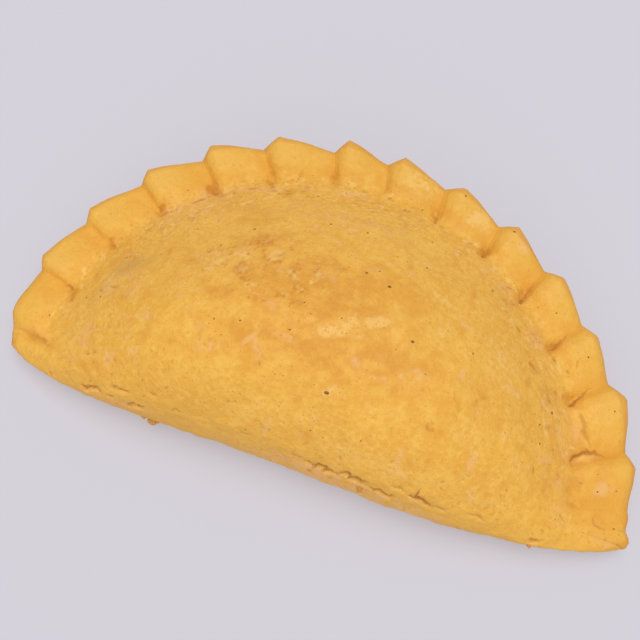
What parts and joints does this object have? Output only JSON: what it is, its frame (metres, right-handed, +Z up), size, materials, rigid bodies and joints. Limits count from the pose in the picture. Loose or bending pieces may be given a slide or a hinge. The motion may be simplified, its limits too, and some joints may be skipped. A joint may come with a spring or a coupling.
{
  "type": "empanada",
  "caption": "Half-moon baked turnover: a domed, filled dough parcel with a rounded folded edge and a hand-crimped curved rim of overlapping finger pleats.",
  "frame": {"origin": "on the flat underside, below the middle of the overall box", "axes": "+X along the straight folded edge, from the left tip to the right tip; +Y from the fold towards the crimped rim; +Z up from the flat underside"},
  "size_m": [0.1514, 0.0836, 0.033],
  "materials": {
    "crust": "matte, dry baked dough, golden yellow with toasted patches"
  },
  "bodies": {
    "root": {"pastry": "crust"}
  },
  "joints": []
}
